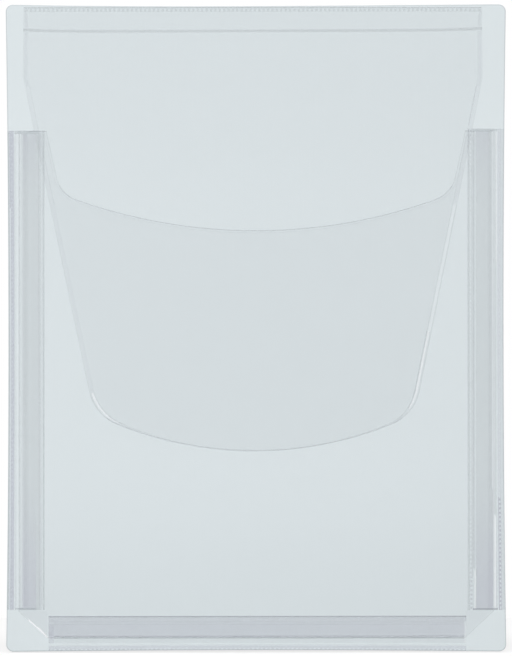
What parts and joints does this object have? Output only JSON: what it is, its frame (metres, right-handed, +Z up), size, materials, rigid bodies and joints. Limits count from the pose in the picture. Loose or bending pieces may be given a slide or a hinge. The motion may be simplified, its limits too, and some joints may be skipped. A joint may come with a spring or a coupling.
{
  "type": "magnetic document pocket",
  "caption": "Flat clear-film document pocket with bellows gussets, a scooped front, a tapered hinged flap and a magnet sheet on its back.",
  "frame": {"origin": "middle of the magnet sheet's back face", "axes": "+X to the right seen from the front, +Y into the board, +Z up"},
  "size_m": [0.25, 0.0183, 0.3236],
  "materials": {
    "magnet_rubber": "matt, finely calendered",
    "back_film": "satin opaque film",
    "clear_film": "glossy soft clear film",
    "flap_film": "glossy soft clear film",
    "gusset_film": "glossy soft clear film",
    "weld": "knurled weld"
  },
  "bodies": {
    "back": {"magnet_sheet": "magnet_rubber", "back_film": "back_film", "flap_band": "flap_film", "left_hem": "weld", "right_hem": "weld", "bottom_hem": "weld"},
    "front": {"front_panel": "clear_film"},
    "shoulder": {"flap_shoulder": "flap_film"},
    "apron": {"flap_apron": "flap_film"},
    "left_gusset": {"left_strip": "gusset_film", "left_seam": "weld"},
    "left_return": {"left_wing": "clear_film"},
    "right_gusset": {"right_strip": "gusset_film", "right_seam": "weld"},
    "right_return": {"right_wing": "clear_film"},
    "bottom_gusset": {"bottom_strip": "gusset_film", "bottom_seam": "weld"},
    "bottom_return": {"bottom_wing": "clear_film"}
  },
  "joints": [
    {"name": "front_slide", "type": "slide", "parent": "back", "child": "front", "axis": [0, -1, 0], "range_m": [0, 0.01], "stiffness_N_per_m": 4, "springref_m": -0.01},
    {"name": "flap_open", "type": "hinge", "parent": "back", "child": "shoulder", "pos_m": [-0.0015, -0.0017, 0.149], "axis": [-1, 0, 0], "range_deg": [0, 150]},
    {"name": "flap_bend", "type": "hinge", "parent": "shoulder", "child": "apron", "pos_m": [-0.0015, -0.01805, 0.10025], "axis": [-1, 0, 0], "range_deg": [0, 3.6]},
    {"name": "left_strip_fold", "type": "hinge", "parent": "back", "child": "left_gusset", "pos_m": [-0.1205, -0.0017, -0.02125], "axis": [0, 0, -1], "range_deg": [0, 26.5]},
    {"name": "right_strip_fold", "type": "hinge", "parent": "back", "child": "right_gusset", "pos_m": [0.1205, -0.0017, -0.02125], "axis": [0, 0, 1], "range_deg": [0, 26.5]},
    {"name": "bottom_strip_fold", "type": "hinge", "parent": "back", "child": "bottom_gusset", "pos_m": [0, -0.0017, -0.15725], "axis": [1, 0, 0], "range_deg": [0, 32.5]},
    {"name": "left_wing_fold", "type": "hinge", "parent": "front", "child": "left_return", "pos_m": [-0.1185, -0.0067, -0.02125], "axis": [0, 0, 1], "range_deg": [0, 30]},
    {"name": "right_wing_fold", "type": "hinge", "parent": "front", "child": "right_return", "pos_m": [0.1185, -0.0067, -0.02125], "axis": [0, 0, -1], "range_deg": [0, 30]},
    {"name": "bottom_wing_fold", "type": "hinge", "parent": "front", "child": "bottom_return", "pos_m": [0, -0.0067, -0.1545], "axis": [-1, 0, 0], "range_deg": [0, 39.5]}
  ],
  "couplings": [
    {"joint": "flap_bend", "follows": "front_slide", "rad_per_m": 6.2},
    {"joint": "left_strip_fold", "follows": "front_slide", "rad_per_m": 44.92},
    {"joint": "right_strip_fold", "follows": "front_slide", "rad_per_m": 44.92},
    {"joint": "bottom_strip_fold", "follows": "front_slide", "rad_per_m": 55.34},
    {"joint": "left_wing_fold", "follows": "front_slide", "rad_per_m": 50.72},
    {"joint": "right_wing_fold", "follows": "front_slide", "rad_per_m": 50.72},
    {"joint": "bottom_wing_fold", "follows": "front_slide", "rad_per_m": 67.83}
  ]
}
